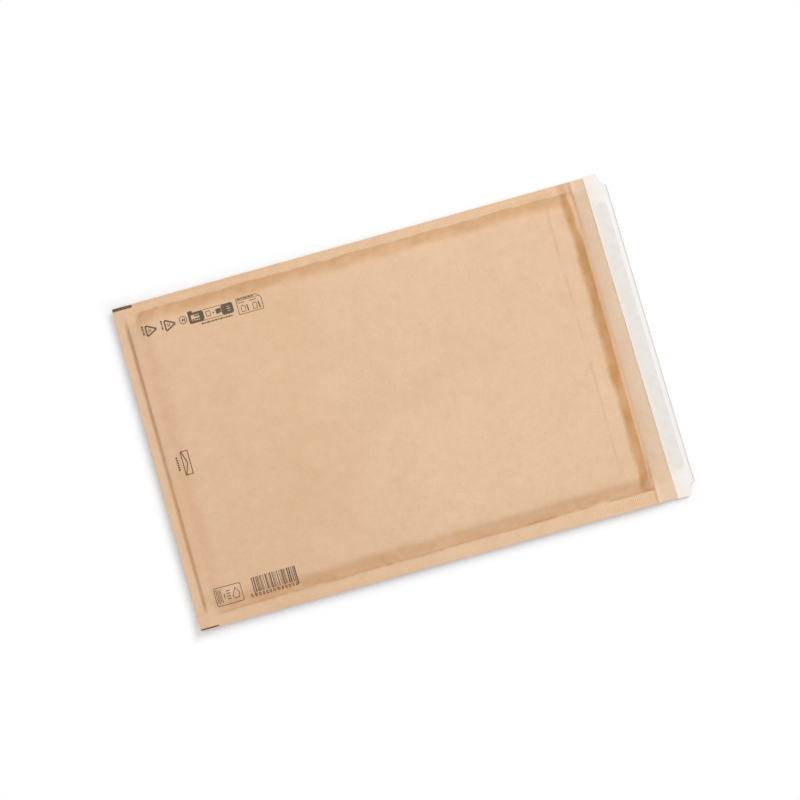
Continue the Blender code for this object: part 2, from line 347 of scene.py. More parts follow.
def seam_wrinkles(along, inset, seed):
    """Short creases that run in from a side seam, at random places along it."""
    draw = np.random.default_rng(seed)
    count = round(size.body_length / fine.wrinkle_spacing)
    total = np.zeros(np.broadcast(along, inset).shape)
    for place in np.sort(draw.uniform(CREASES_START, size.body_length - CREASES_STOP, count)):
        total += one_crease(draw, SEAM_CREASES, inset,
                            lambda lean: along - place - lean * inset)
    return total


def fold_wrinkles(along, y, seed):
    """Short creases that run in from the fold margin."""
    draw = np.random.default_rng(seed)
    inset = along - size.fold_margin
    total = np.zeros(np.broadcast(along, y).shape)
    spread = FOLD_CREASES["spread"]
    for place in draw.uniform(-spread, spread, FOLD_CREASES["count"]) * HALF_WIDTH:
        total += one_crease(draw, FOLD_CREASES, inset, lambda lean: y - place)
    return total


def panel_waves(along, y, seed):
    """Broad, shallow waves of the padded panel."""
    draw = np.random.default_rng(seed)
    total = np.zeros(np.broadcast(along, y).shape)
    for step in PANEL_WAVES:
        heading = draw.uniform(0.0, np.pi)
        phase = draw.uniform(0.0, 2 * np.pi)
        travel = along * np.cos(heading) + y * np.sin(heading)
        total += np.sin(2 * np.pi * travel / step + phase)
    return fine.swell_height * total / 2


def paper_detail(along, y):
    """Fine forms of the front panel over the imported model's own."""
    side_ease, end_ease, waves_ease, mouth_ease, creases_ease = 0.010, 0.006, 0.016, 0.012, 0.012
    pinch_rise, pinch_reach, groove_width = 0.0020, 0.0075, 0.0021
    above, below = seam_insets(along, y)
    inset = np.minimum(above, below)
    past_fold = along - size.fold_margin
    to_mouth = size.body_length - along
    before_lip = to_mouth - LEVEL_LIP
    more_by_mouth = 0.4 + 1.2 * along / size.body_length
    forms = seam_wrinkles(along, np.maximum(above, 0.0), fine.seed)
    forms = forms + more_by_mouth * seam_wrinkles(along, np.maximum(below, 0.0), fine.seed + 1)
    forms = forms * swell(past_fold, end_ease) * swell(before_lip, mouth_ease)
    off_pinch = (along - fine.pinch_place) / fine.pinch_length
    forms = forms - (fine.pinch_depth * np.exp(-off_pinch ** 2) * swell(below, pinch_rise)
                     * fall(below, pinch_reach))
    forms = forms + fold_wrinkles(along, y, fine.seed + 2) * swell(inset, creases_ease)
    inside = swell(inset, side_ease) * swell(past_fold, side_ease) * swell(before_lip, waves_ease)
    forms = forms + panel_waves(along, y, fine.seed + 3) * inside
    groove = (fall(np.abs(to_mouth - fine.groove_place), groove_width)
              * swell(inset - LEVEL_LIP, side_ease))
    return forms - fine.groove_depth * groove


def front_surface(along, y):
    """Outer face of the front panel with its wrinkles."""
    return front_height(along, y) + paper_detail(along, y)


def film_depth(along, y):
    """Thickness of one ply of the bubble film, which thins out towards its sealed edges."""
    room = front_height(along, y) - back_height(along, y) - 2 * (size.paper + size.clearance)
    return np.minimum(size.film, size.film_share * room)


class PointList:
    """Collects blocks of points, and gives back the index of each point in its block."""

    def __init__(self):
        self.blocks = []
        self.count = 0

    def add(self, along, y, height):
        along, y, height = np.broadcast_arrays(along, y, height)
        self.blocks.append(np.stack([FOLD_X + along, y, height], axis=-1).reshape(-1, 3))
        index = self.count + np.arange(along.size).reshape(along.shape)
        self.count += along.size
        return index

    def all(self):
        return np.concatenate(self.blocks)


def quads(index):
    """Faces over a grid of indices, facing up where rows run along X and lines along Y."""
    return np.stack([index[:-1, :-1], index[1:, :-1], index[1:, 1:], index[:-1, 1:]],
                    axis=-1).reshape(-1, 4)


def wall(low, high):
    """Faces between two chains of indices, facing to the right of their run."""
    return np.stack([low[:-1], low[1:], high[1:], high[:-1]], axis=-1)


def slab_faces(under, over):
    """Closed skin of a sheet between two grids of indices."""
    def border(index):
        return np.concatenate([index[:, 0], index[-1, 1:], index[-2::-1, -1], index[0, -2::-1]])
    return [quads(under)[:, ::-1], quads(over), wall(border(under), border(over))]


def link_object(name, data):
    made = bpy.data.objects.new(name, data)
    bpy.context.scene.collection.objects.link(made)
    return made


def mesh_piece(name, points, faces, looks, slots=None):
    """An object from points and lists of faces, with its materials and smooth shading."""
    sharp_from = math.radians(38)
    mesh = bpy.data.meshes.new(name)
    mesh.from_pydata(points.tolist(), [], [list(map(int, face)) for group in faces
                                           for face in group])
    for look in looks:
        mesh.materials.append(look)
    if slots is not None:
        mesh.polygons.foreach_set("material_index", slots)
    mesh.update()
    mesh.shade_smooth()
    mesh.set_sharp_from_angle(angle=sharp_from)
    return link_object(name, mesh)


def steps(start, end, step):
    """Evenly spaced values from start to end."""
    return np.linspace(start, end, max(2, round((end - start) / step) + 1))


# Lines of the mesh by one side, in millimetres in from the edge and in from the seam line.
EDGE_LINES = (0.0, 1.4, 3.0, 4.6, 6.2, 7.6, 9.0, 10.2, 11.0)
SLOPE_LINES = (1.6, 2.5, 3.6, 4.8, 6.2, 7.7, 9.3, 10.9, 12.5, 14.6, 17.2, 20.4, 24.5)
# Further places and gaps of those lines, in metres, and how many lines and rows there are.
LAST_EDGE_LINE = 0.0127
FIRST_INSET = 0.0014
MIDDLE_LINES = 26
FLAP_ROWS = 20
NOTCH_GAP = 0.00002


def body_stations():
    """Distances from the fold of the mesh's rows, closest where the paper bends."""
    fold = size.fold_margin
    mouth = size.body_length
    margin, crease, panel, lip = 0.0022, 0.0009, 0.0017, 0.0007
    return np.unique(np.concatenate([
        steps(0.0, fold - 0.0012, margin), [fold - 0.0005, fold, fold + size.pocket_inset],
        steps(fold + 0.0016, fold + 0.014, crease), steps(fold + 0.016, mouth - 0.016, panel),
        steps(mouth - 0.0150, mouth, lip)]).round(7))


def side_offsets(margin_at_mouth):
    """Lines by one side: shares of the margin, and distances in from its seam line."""
    edge = [*(np.array(EDGE_LINES) * MM), fine.notch_width - NOTCH_GAP,
            fine.notch_width + NOTCH_GAP]
    margin = [value for value in [*edge, LAST_EDGE_LINE] if value < margin_at_mouth]
    insets = [value - margin_at_mouth for value in edge if value - margin_at_mouth > FIRST_INSET]
    insets += [0.0, size.pocket_inset, *(np.array(SLOPE_LINES) * MM)]
    return np.array(margin) / margin_at_mouth, np.array(sorted(insets))


def mesh_lines(along):
    """Y of the mesh's lines at each distance from the fold, and the pocket's two edge lines."""
    seam = np.minimum(along, size.body_length)[:, None]
    lower = lower_seam_line(seam)
    upper = upper_seam_line(seam)
    low_margin, low_insets = side_offsets(size.lower_at_mouth)
    top_margin, top_insets = side_offsets(size.upper_seam)
    middle = np.linspace(0.0, 1.0, MIDDLE_LINES)[None, 1:-1]
    start = lower + low_insets[-1]
    end = upper - top_insets[-1]
    lines = np.concatenate([
        -HALF_WIDTH + low_margin[None] * (lower + HALF_WIDTH), lower + low_insets[None],
        start + middle * (end - start), upper - top_insets[None, ::-1],
        HALF_WIDTH - top_margin[None, ::-1] * (HALF_WIDTH - upper)], axis=1)
    return lines, low_margin.size + 1, lines.shape[1] - top_margin.size - 2


def paper_skin():
    """Points and faces of the paper bag: one closed skin of the folded web, with its pocket."""
    body = body_stations()
    mouth = body.size - 1
    pocket = int(np.argmin(np.abs(body - size.fold_margin - size.pocket_inset)))
    rows, first, last = mesh_lines(body)
    inner = slice(first, last + 1)
    along = np.repeat(body[:, None], rows.shape[1], axis=1)
    flap_y = np.repeat(rows[-1:], FLAP_ROWS, axis=0)
    reach = np.linspace(0.0, 1.0, FLAP_ROWS)[:, None]
    flap_along = size.body_length + reach * flap_end(flap_y)

    points = PointList()
    all_along = np.concatenate([along, flap_along[1:]])
    all_y = np.concatenate([rows, flap_y[1:]])
    under = points.add(all_along, all_y, back_height(all_along, all_y))
    front = points.add(along, rows, front_surface(along, rows))
    flap = points.add(flap_along, flap_y, back_height(flap_along, flap_y) + size.paper)
    in_along = along[pocket:, inner]
    in_y = rows[pocket:, inner]
    floor = points.add(in_along[:-1], in_y[:-1],
                       back_height(in_along[:-1], in_y[:-1]) + size.paper)
    floor = np.concatenate([floor, flap[:1, inner]])
    roof = points.add(in_along, in_y, front_surface(in_along, in_y) - size.paper)

    lip = front[-1]
    step = flap[0]
    outside = [
        quads(under)[:, ::-1], quads(front), wall(under[0, ::-1], front[0, ::-1]),
        wall(under[:mouth, 0], front[:-1, 0]), wall(under[mouth:, 0], flap[:, 0]),
        [[under[mouth - 1, 0], under[mouth, 0], step[0], lip[0], front[-2, 0]]],
        wall(under[mouth - 1::-1, -1], front[-2::-1, -1]),
        wall(under[:mouth - 1:-1, -1], flap[::-1, -1]),
        [[under[mouth, -1], under[mouth - 1, -1], front[-2, -1], lip[-1], step[-1]]],
        wall(under[-1], flap[-1]), wall(step[:first], lip[:first]),
        [[step[first - 1], step[first], roof[-1, 0], lip[first], lip[first - 1]]],
        wall(roof[-1], lip[inner]),
        [[step[last], step[last + 1], lip[last + 1], lip[last], roof[-1, -1]]],
        wall(step[last + 1:], lip[last + 1:])]
    inside = [quads(flap), quads(floor), quads(roof)[:, ::-1],
              wall(floor[::-1, 0], roof[::-1, 0]), wall(floor[:, -1], roof[:, -1]),
              wall(floor[0], roof[0])]
    return points.all(), outside, inside


class Value:
    """A number that a shader works out at each place, for plain arithmetic."""

    def __init__(self, nodes, socket):
        self.nodes = nodes
        self.socket = socket

    def __add__(self, other):
        return self.nodes.math("ADD", self, other)

    def __sub__(self, other):
        return self.nodes.math("SUBTRACT", self, other)

    def __rsub__(self, other):
        return self.nodes.math("SUBTRACT", other, self)

    def __mul__(self, other):
        return self.nodes.math("MULTIPLY", self, other)

    def __pow__(self, other):
        return self.nodes.math("POWER", self, other)

    def __abs__(self):
        return self.nodes.math("ABSOLUTE", self)

    def at_least(self, other):
        return self.nodes.math("MAXIMUM", self, other)

    def at_most(self, other):
        return self.nodes.math("MINIMUM", self, other)

    def ramp(self, span, start=0.0, end=1.0):
        """Runs smoothly from start to end over a span, and stays level past it."""
        made = self.nodes.node("ShaderNodeMapRange", interpolation_type="SMOOTHSTEP")
        for key, number in (("Value", self), ("From Min", span[0]), ("From Max", span[1]),
                            ("To Min", start), ("To Max", end)):
            self.nodes.feed(made.inputs[key], number)
        return Value(self.nodes, made.outputs[0])

    def within(self, rise, drop):
        """Rises from 0 to 1 over one span, and falls back over another."""
        return self.ramp(rise) * self.ramp(drop, 1.0, 0.0)


class Nodes:
    """A node tree, and short ways to add to it."""

    def __init__(self, tree):
        self.tree = tree

    def node(self, kind, **settings):
        made = self.tree.nodes.new(kind)
        for key, value in settings.items():
            setattr(made, key, value)
        return made

    def feed(self, socket, value):
        """Sets a socket to a number or colour, or links it to another node's output."""
        value = getattr(value, "socket", value)
        if isinstance(value, bpy.types.NodeSocket):
            self.tree.links.new(value, socket)
        else:
            socket.default_value = (*value, 1.0) if socket.type == "RGBA" else value

    def math(self, operation, *values):
        made = self.node("ShaderNodeMath", operation=operation)
        for socket, value in zip(made.inputs, values):
            self.feed(socket, value)
        return Value(self, made.outputs[0])

    def seen_by(self, *kinds):
        """1 for rays of these kinds, and 0 for all others."""
        path = self.node("ShaderNodeLightPath")
        seen, *others = [Value(self, path.outputs[f"Is {kind} Ray"]) for kind in kinds]
        for other in others:
            seen = seen.at_least(other)
        return seen

    def show_white(self, share, plain, kind, output):
        """Shows plain white in place of a shader, as far as the share says."""
        white = self.node(kind)
        self.feed(white.inputs["Color"], WHITE)
        blend = self.node("ShaderNodeMixShader")
        for socket, value in zip(blend.inputs, (share, plain.outputs[0], white.outputs[0])):
            self.feed(socket, value)
        self.feed(self.tree.nodes[output].inputs["Surface"], blend.outputs[0])


class Look(Nodes):
    """A procedural material."""

    def __init__(self, name, base, roughness):
        self.material = bpy.data.materials.new(name)
        self.material.use_nodes = True
        super().__init__(self.material.node_tree)
        self.shader = self.tree.nodes["Principled BSDF"]
        self.place = self.node("ShaderNodeTexCoord").outputs["Object"]
        self.finish(base, {"Roughness": roughness})

    def finish(self, base, inputs):
        """Sets the base colour and other inputs of the shader, and gives back the material."""
        for key, value in {"Base Color": base, **inputs}.items():
            self.feed(self.shader.inputs[key], value)
        return self.material

    def split(self, vector, name):
        """One coordinate of a vector."""
        parts = self.node("ShaderNodeSeparateXYZ")
        self.feed(parts.inputs[0], vector)
        return Value(self, parts.outputs[name])

    def axis(self, name):
        """One coordinate of the place on the piece."""
        return self.split(self.place, name)

    def noise(self, scale, detail=2.0, stretch=(1.0, 1.0, 1.0)):
        """Noise over the piece, whose features are about 1 / scale metres across."""
        mapping = self.node("ShaderNodeMapping")
        self.feed(mapping.inputs["Vector"], self.place)
        mapping.inputs["Scale"].default_value = stretch
        made = self.node("ShaderNodeTexNoise")
        for key, value in (("Vector", mapping.outputs[0]), ("Scale", scale), ("Detail", detail)):
            self.feed(made.inputs[key], value)
        return Value(self, made.outputs["Fac"])

    def mix(self, factor, first, second, blend="MIX"):
        made = self.node("ShaderNodeMix", data_type="RGBA", blend_type=blend)
        self.feed(made.inputs["Factor"], factor)
        self.feed(made.inputs[6], first)
        self.feed(made.inputs[7], second)
        return made.outputs[2]

    def tinted(self, paper, weight, tint):
        """Paper multiplied by a tint, as far as the weight says."""
        return self.mix(weight, paper, self.mix(1.0, paper, tint, "MULTIPLY"))

    def bump(self, height, strength, distance):
        made = self.node("ShaderNodeBump")
        for key, value in (("Strength", strength), ("Distance", distance), ("Height", height)):
            self.feed(made.inputs[key], value)
        self.feed(self.shader.inputs["Normal"], made.outputs[0])


# Mottling and fibres of the paper, as (scale, detail, stretch, weight) of each layer.
PAPER_LAYERS = ((7.0, 1.0, (1.0, 1.0, 1.0), 0.60), (24.0, 2.0, (1.0, 1.0, 1.0), 0.62),
                (115.0, 3.0, (1.0, 1.0, 1.0), 0.90), (300.0, 3.0, (1.0, 3.0, 1.0), 0.75),
                (360.0, 3.0, (3.0, 1.0, 1.0), 0.60), (900.0, 2.0, (1.0, 1.0, 1.0), 0.40))
PAPER_DARKER = (0.930, 0.915, 0.890)
PAPER_LIGHTER = (1.070, 1.085, 1.110)
SPECKS = (0.735, 0.775)
SPECK_WEIGHT = 0.45
SPECK_TONE = 0.55
CLOUDS = (0.3, 0.7)


def scaled(colour, factor):
    """A colour multiplied by a number or by another colour."""
    return tuple(np.multiply(tuple(colour), factor).tolist())


def painted_slope_shade(look, plain, steep):
    """Painted shade on the slopes alone: a darker, warmer tint as far as the surface tilts."""
    return look.tinted(plain, steep, tone.crease)


def kraft_look(name, base, last=painted_slope_shade):
    """Kraft paper: soft mottling, fibres, a few dark specks, and painted shade on its slopes.

    The function last gets the plain paper and how much painted shade its slopes take, and gives
    the colour.
    """
    look = Look(name, base, 0.86)
    mottle = 0.5 - 0.5 * sum(weight for *_, weight in PAPER_LAYERS)
    for scale, detail, stretch, weight in PAPER_LAYERS:
        mottle = look.noise(scale, detail, stretch) * weight + mottle
    plain = look.mix(mottle, scaled(base, PAPER_DARKER), scaled(base, PAPER_LIGHTER))
    specks = look.noise(1150.0, 1.0).ramp(SPECKS) * SPECK_WEIGHT
    plain = look.mix(specks, plain, scaled(base, SPECK_TONE))
    # Painted shade: the further the surface tilts from level, the more of the slope tint it
    # takes, in blotches.
    normal = look.node("ShaderNodeNewGeometry").outputs["Normal"]
    blotch = look.noise(52.0, 3.0) * 7.4 + 1.5
    steep = ((1.0 - abs(look.split(normal, "Z"))) * blotch).at_most(1.0)
    look.bump(look.noise(700.0, 3.0), 0.20, 0.00006)
    return look.finish(last(look, plain, steep), {"Specular IOR Level": 0.25})


def outer_paper_and_shade(look, plain, steep):
    """The outer face: painted shade and painted light on its slopes, a painted shade line in the
    crease at the fold, and what lies by the free edge.
    """
    fold_slope = (0.0040, 0.0100), (0.0120, 0.0310)
    clear_of_sides = (0.026, 0.042)
    tone_start, tone_rise, tone_end = (-0.001, 0.004), (0.015, 0.075), (0.140, 0.205)
    lower_slope, lower_half, either_half = (0.0175, 0.0225), (0.0, 0.01), (-0.03, 0.03)
    crease_shade_line = (-0.0023, -0.0011), (-0.0006, 0.0008)
    crease_shade_ends, crease_shade_tint = (0.013, 0.021), (0.80, 0.67, 0.53)

    across = look.axis("Y")
    from_side = HALF_WIDTH - abs(across)
    past_fold = look.axis("X") - (FOLD_X + size.fold_margin)
    # Painted light: the slope beside the fold is lifted where the side lamp shades it, and the
    # tone by the fold and the painted slope shade are held back there.
    fold_slope_light = past_fold.within(*fold_slope) * from_side.ramp(clear_of_sides)
    off_slope = 1.0 - fold_slope_light
    drift = look.noise(14.0) * 0.08 - 0.04
    near_fold = past_fold.ramp(tone_rise, 0.45, 1.0) * (past_fold + drift).ramp(
        tone_end, 0.60, 0.0) * past_fold.ramp(tone_start)
    paper = look.tinted(plain, near_fold * off_slope, tone.by_fold)
    paper = look.tinted(paper, fold_slope_light, tone.fold_slope)
    # Painted shade on the slopes: stronger on the slope by the lower seam, weaker on the slope
    # beside the fold.
    by_lower = (across + HALF_WIDTH).ramp(lower_slope, 1.5, 0.8)
    steep = steep * across.ramp(lower_half, by_lower, 1.0) * (off_slope * 0.7 + 0.3)
    crease = look.mix(across.ramp(either_half), tone.lower_crease, tone.crease)
    paper = look.tinted(paper, steep.at_most(1.0), crease)
    # Painted shade: a thin dark line in the crease at the fold.
    wear_and_crease_shade = past_fold.within(*crease_shade_line) * from_side.ramp(crease_shade_ends, 0.0, 0.75)
    paper = look.tinted(paper, wear_and_crease_shade, crease_shade_tint)
    before = FOLD_X + size.body_length - look.axis("X")
    return mouth_shade_band(look, mouth_crease(look, paper, across, before), across, before)


def mouth_crease(look, paper, across, before):
    """A faint crease along the mouth, shown as a painted shade line with a painted highlight band
    on its near side.
    """
    highlight_band = (0.0185, 0.0210), (0.0250, 0.0265)
    shade_line = (0.0262, 0.0275), (0.0284, 0.0305)
    painted_highlight_tint, painted_shade_tint = (1.045, 1.050, 1.055), (0.860, 0.805, 0.745)
    clearer_by, ends = (0.080, 0.112), (0.134, 0.145)

    place = before + (look.noise(16.0) * 0.0050 - 0.0025)
    broken = look.noise(38.0).ramp((0.36, 0.60), 0.25, 1.0)
    weight = broken * across.ramp(clearer_by, 0.50, 1.0) * abs(across).ramp(ends, 1.0, 0.0)
    paper = look.tinted(paper, place.within(*highlight_band) * weight, painted_highlight_tint)
    return look.tinted(paper, place.within(*shade_line) * weight, painted_shade_tint)


def mouth_shade_band(look, paper, across, before):
    """Painted shade: the darker, blotchy band along the free edge, where the paper slopes down to
    the mouth, and a thin painted shade line at the free edge by the corners.
    """
    lower_end, upper_end = (-0.150, -0.138), (0.1475, 0.1530)
    corners, lip_fade, edge_shade_fade = (0.098, 0.122), (0.0012, 0.0034), (0.0003, 0.0028)
    corner_fade = (0.0030, fine.glue_lip + 0.0024)
    edge_shade_tint = (0.84, 0.74, 0.62)

    place = look.noise(40.0, 3.0) * 0.0072 + (before - 0.0036)
    band = place.ramp((fine.glue_width, fine.glue_width + fine.glue_fade), 1.0, 0.0)
    blotch = look.noise(55.0, 2.0, (1.0, 0.45, 1.0)).ramp((0.34, 0.64), 0.66, 1.0)
    sides = across.ramp(lower_end) * across.ramp(upper_end, 1.0, 0.45)
    corner = across.ramp(corners, 0.0, 0.85) * place.ramp(corner_fade, 1.0, 0.0)
    lip = corner.at_least(before.ramp(lip_fade, 0.75, 0.0))
    paper = look.tinted(paper, band * sides * (blotch * (1.0 - lip)), tone.glued)
    # Painted shade: a thin dark line at the free edge by the corners.
    edge = abs(across).ramp(corners) * before.ramp(edge_shade_fade, 0.65, 0.0)
    return look.tinted(paper, edge, edge_shade_tint)


def flap_paper(look, plain, steep):
    """The inner face: painted light that lifts it a little by the free edge, where the gaping lip
    shades it, and a thin painted shadow line under the lip at its sides.
    """
    painted_light_fade, lip_shadow_fade, lip_shadow_sides = (0.0010, 0.0080), (0.0004, 0.0015), (0.085, 0.125)
    painted_light_gain, lip_shadow_tint = 1.11, (0.78, 0.70, 0.62)
    past = look.axis("X") - (FOLD_X + size.body_length)
    paper = look.mix(past.ramp(painted_light_fade, 0.75, 0.0), painted_slope_shade(look, plain, steep),
                     scaled(tone.kraft_inside, painted_light_gain))
    at_side = abs(look.axis("Y")).ramp(lip_shadow_sides)
    return look.tinted(paper, past.ramp(lip_shadow_fade, 0.9, 0.0) * at_side, lip_shadow_tint)


def film_look():
    """Clear bubble film, glossy and slightly clouded."""
    look = Look("bubble_film", tone.film, 0.18)
    look.bump(look.noise(400.0), 0.25, 0.0002)
    haze = look.noise(90.0).ramp(CLOUDS, 0.94, 1.0)
    return look.finish(look.mix(haze, scaled(tone.film, 0.9), tone.film),
                       {"Alpha": 0.42, "Specular IOR Level": 0.55})


def adhesive_look():
    """Tacky glue band, clear and yellowish."""
    look = Look("adhesive", tone.adhesive, 0.25)
    look.bump(look.noise(700.0), 0.3, 0.00008)
    drift = look.noise(120.0).ramp(CLOUDS)
    return look.finish(look.mix(drift, scaled(tone.adhesive, 0.92), tone.adhesive), {})


def liner_look():
    """Silicone coated paper: satin, with the glue band showing faintly through it, and a thin
    painted shadow line along its free edge.
    """
    cloud_tint, glue_tint, edge_shadow_tint = (0.96, 0.96, 0.96), (0.965, 0.955, 0.95), (0.60, 0.61, 0.62)
    halves, edge_shadow_start, edge_shadow_end = (-0.005, 0.005), 0.0013, 0.0003
    look = Look("liner_paper", tone.liner, 0.42)
    across = look.axis("Y")
    skew = float(flap_length(1.0) - flap_length(0.0))
    half = fine.liner_width / 2
    middle = FOLD_X + size.body_length + float(flap_length(0.0)) - half
    off_centre = look.axis("X") - (across * skew + middle)
    straight = HALF_WIDTH - fine.adhesive_setback - fine.adhesive_width / 2
    past_end = (abs(across) - straight).at_least(0.0)
    distance = look.math("SQRT", off_centre ** 2.0 + past_end ** 2.0)
    half_band = fine.adhesive_width / 2
    band = distance.ramp((half_band - 0.0007, half_band + 0.0005), 1.0, 0.0)
    paper = look.mix(off_centre.ramp(halves), tone.liner, tone.liner_outer)
    paper = look.tinted(paper, look.noise(60.0, 3.0).ramp(CLOUDS, 0.0, 0.35), cloud_tint)
    glue = look.tinted(tone.liner_band, look.noise(110.0, 3.0).ramp((0.38, 0.62)), glue_tint)
    paper = look.mix(band, paper, glue)
    # Painted shadow: a thin grey line along the strip's free edge.
    cut = off_centre.ramp((half - edge_shadow_start, half - edge_shadow_end), 0.0, 0.75)
    look.bump(look.noise(900.0), 0.12, 0.00005)
    return look.finish(look.tinted(paper, cut, edge_shadow_tint), {
        "Roughness": look.noise(220.0).ramp(CLOUDS, 0.38, 0.5), "Coat Weight": 0.15,
        "Coat Roughness": 0.30})


def ink_look():
    """Dark flexographic ink, thin enough to take on the tooth of the paper."""
    worn_ink = (0.200, 0.138, 0.095)
    look = Look("dark_ink", tone.ink, 0.72)
    look.bump(look.noise(2600.0), 0.2, 0.00005)
    wear_and_crease_shade = look.noise(1900.0).ramp((0.30, 0.75))
    return look.finish(look.mix(wear_and_crease_shade, tone.ink, worn_ink), {"Specular IOR Level": 0.3})


def floor_look():
    """Pale floor that keeps the shadow, and is plain white far from the mailer."""
    shadow_end = (0.0050, 0.0135)
    look = Look("pale_floor", tone.floor, 0.9)
    look.finish(tone.floor, {"Specular IOR Level": 0.0})
    outside = (abs(look.axis("X")) + FOLD_X).at_least(abs(look.axis("Y")) - HALF_WIDTH)
    white = look.seen_by("Camera", "Glossy", "Transmission") * outside.ramp(shadow_end)
    look.show_white(white, look.shader, "ShaderNodeEmission", "Material Output")
    return look.material


class MAILER_OT_paper_bag(bpy.types.Operator):
    """Make the folded kraft paper bag with its flap"""
    bl_idname = "mailer.paper_bag"
    bl_label = "Paper bag"

    def execute(self, context):
        points, outside, inside = paper_skin()
        slots = [0] * sum(map(len, outside)) + [1] * sum(map(len, inside))
        looks = [kraft_look("kraft_paper", tone.kraft, outer_paper_and_shade),
                 kraft_look("kraft_paper_inside", tone.kraft_inside, flap_paper)]
        bag = mesh_piece("kraft_bag", points, outside + inside, looks, slots)
        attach(bag, "root")
        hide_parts("paper_bag")
        return {"FINISHED"}


def crimp_strip(points, edge_side, on_front):
    """Closed corrugated strip over one face of one side seam; only its ribs stand out."""
    start, lip_gap, inner_gap, width_share = 0.024, 0.0012, 0.0006, 0.8
    strong_from, strong_run, weakest = 0.35, 0.06, 0.15
    sunk, seated, per_rib, lines, squareness = 0.00010, 0.00004, 4, 6, 0.2

    end = size.body_length - (fine.glue_width + fine.glue_fade if edge_side > 0 else lip_gap)
    count = round((end - start) / fine.crimp_pitch * per_rib) + 1
    along = start + np.arange(count)[:, None] * fine.crimp_pitch / per_rib
    seam = upper_seam_line(along) if edge_side > 0 else lower_seam_line(along)
    edge = seam + width_share * (edge_side * HALF_WIDTH - seam)
    inner = seam + edge_side * inner_gap
    across = np.linspace(0.0, 1.0, lines)[None, :]
    low, high = (inner, edge) if edge_side > 0 else (edge, inner)
    y = low + across * (high - low)
    along = np.repeat(along, y.shape[1], axis=1)
    near_mouth = clamp((along - strong_from) / strong_run)
    strength = (weakest + (1 - weakest) * near_mouth) * np.sin(np.pi * across) ** squareness
    ribs = 0.5 + 0.5 * np.cos(2 * np.pi * along / fine.crimp_pitch)
    rise = fine.crimp_height * strength * ribs - seated
    if on_front:
        face = front_height(along, y)
        under = points.add(along, y, face - sunk)
        over = points.add(along, y, face + rise)
    else:
        face = back_height(along, y)
        under = points.add(along, y, face - rise)
        over = points.add(along, y, face + sunk)
    return slab_faces(under, over)


class MAILER_OT_seam_crimps(bpy.types.Operator):
    """Make the crimped ribs of both side seams, front and back"""
    bl_idname = "mailer.seam_crimps"
    bl_label = "Seam crimps"

    def execute(self, context):
        points = PointList()
        faces = []
        for side in (1, -1):
            for on_front in (True, False):
                faces += crimp_strip(points, side, on_front)
        crimps = mesh_piece("seam_crimps", points.all(), faces,
                            [kraft_look("kraft_crimps", tone.crimps)])
        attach(crimps, "root")
        return {"FINISHED"}


# The film: the step of its rows, its lines in millimetres in from a seam line, and the rings of
# a bubble as (share of the radius, share of the height).
FILM_STEP = 0.0065
FILM_EDGE_LINES = (2.0, 3.3, 4.8, 6.5, 8.5, 11.0, 14.0, 18.0)
FILM_MIDDLE_LINES = 34
BUBBLE_INSET = 0.008
BUBBLE_OVERHANG = 0.3
BUBBLE_RINGS = ((1.0, -0.02), (0.90, 0.52), (0.52, 0.94))
BUBBLE_SIDES = 10
CUT_GAP = 0.0001


def film_faces(along, y, upper):
    """Heights of the pocket side and of the bubble side of one ply's flat skin."""
    layer = size.paper + size.clearance + film_depth(along, y)
    if upper:
        inner = front_surface(along, y) - layer
        return inner, inner + fine.film_skin
    inner = back_height(along, y) + layer
    return inner, inner - fine.film_skin


def film_sheet(points, upper):
    """Flat skin of one ply of the film, on the pocket's side of its bubbles."""
    end = size.body_length - size.film_setback
    along = steps(size.fold_margin + size.lining_inset, end, FILM_STEP)[:, None]
    lower = lower_seam_line(along)
    top = upper_seam_line(along)
    edges = np.array(FILM_EDGE_LINES) * MM
    middle = np.linspace(0.0, 1.0, FILM_MIDDLE_LINES)[None, 1:-1]
    start = lower + edges[-1]
    stop = top - edges[-1]
    y = np.concatenate([lower + edges, start + middle * (stop - start), top - edges[::-1]],
                       axis=1)
    along = np.repeat(along, y.shape[1], axis=1)
    inner, skin = film_faces(along, y, upper)
    under = points.add(along, y, np.minimum(inner, skin))
    over = points.add(along, y, np.maximum(inner, skin))
    return slab_faces(under, over)


def dome_ring(points, centres, turn, radius, rise, upper):
    """One ring of every bubble, cut off square where the film ends."""
    end = size.body_length - size.film_setback
    reach = fine.bubble_radius * radius
    along = np.minimum(centres[:, :1] + reach * np.cos(turn)[None], end - CUT_GAP)
    y = centres[:, 1:] + reach * np.sin(turn)[None]
    skin = film_faces(along, y, upper)[1]
    outward = 1.0 if upper else -1.0
    depth = film_depth(along, y) - fine.film_skin
    return points.add(along, y, skin + outward * rise * depth)


